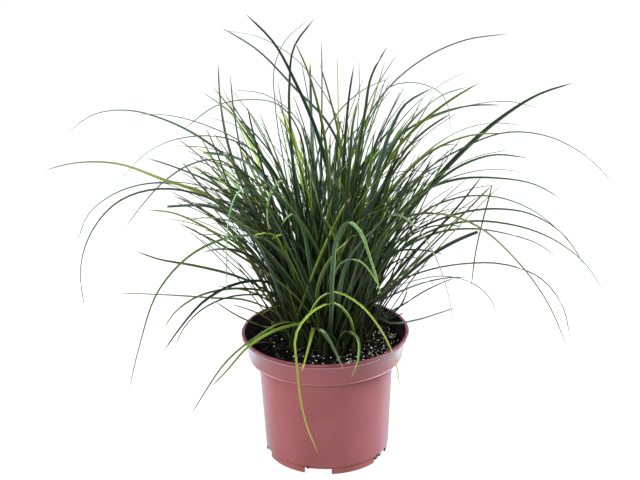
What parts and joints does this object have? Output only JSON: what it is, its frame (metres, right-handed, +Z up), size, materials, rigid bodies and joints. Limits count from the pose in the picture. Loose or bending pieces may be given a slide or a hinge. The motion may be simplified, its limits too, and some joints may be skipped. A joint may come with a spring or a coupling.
{
  "type": "potted ornamental grass clump",
  "caption": "Arching ornamental sedge in a round tapered nursery pot with a notched foot, standing in potting soil.",
  "frame": {"origin": "floor level, on the pot's axis", "axes": "+Z up; +X to the right and +Y away from the viewer in the pictured view"},
  "size_m": [0.4024, 0.3778, 0.3242],
  "materials": {
    "pot": "matte dusty terracotta pink plastic, faintly scuffed",
    "soil": "damp near-black peat with white perlite grains and pale fibres",
    "leaf": "satin dark green leaf, some yellow-green, with dry brown tips"
  },
  "bodies": {
    "root": {"pot": "pot", "soil": "soil", "shoot_01": "leaf", "shoot_02": "leaf", "shoot_03": "leaf", "shoot_04": "leaf", "shoot_05": "leaf", "shoot_06": "leaf", "shoot_07": "leaf", "shoot_08": "leaf", "shoot_09": "leaf", "shoot_10": "leaf", "shoot_11": "leaf", "shoot_12": "leaf", "shoot_13": "leaf", "shoot_14": "leaf", "shoot_15": "leaf", "shoot_16": "leaf", "shoot_17": "leaf", "shoot_18": "leaf", "shoot_19": "leaf", "shoot_20": "leaf", "shoot_21": "leaf", "shoot_22": "leaf", "shoot_23": "leaf", "shoot_24": "leaf", "shoot_25": "leaf", "shoot_26": "leaf", "shoot_27": "leaf", "shoot_28": "leaf", "shoot_29": "leaf", "shoot_30": "leaf", "shoot_31": "leaf", "shoot_32": "leaf", "shoot_33": "leaf", "shoot_34": "leaf", "shoot_35": "leaf", "shoot_36": "leaf", "shoot_37": "leaf", "shoot_38": "leaf", "shoot_39": "leaf", "shoot_40": "leaf", "shoot_41": "leaf", "shoot_42": "leaf", "shoot_43": "leaf", "shoot_44": "leaf", "shoot_45": "leaf", "shoot_46": "leaf", "shoot_47": "leaf", "shoot_48": "leaf", "shoot_49": "leaf"}
  },
  "joints": []
}
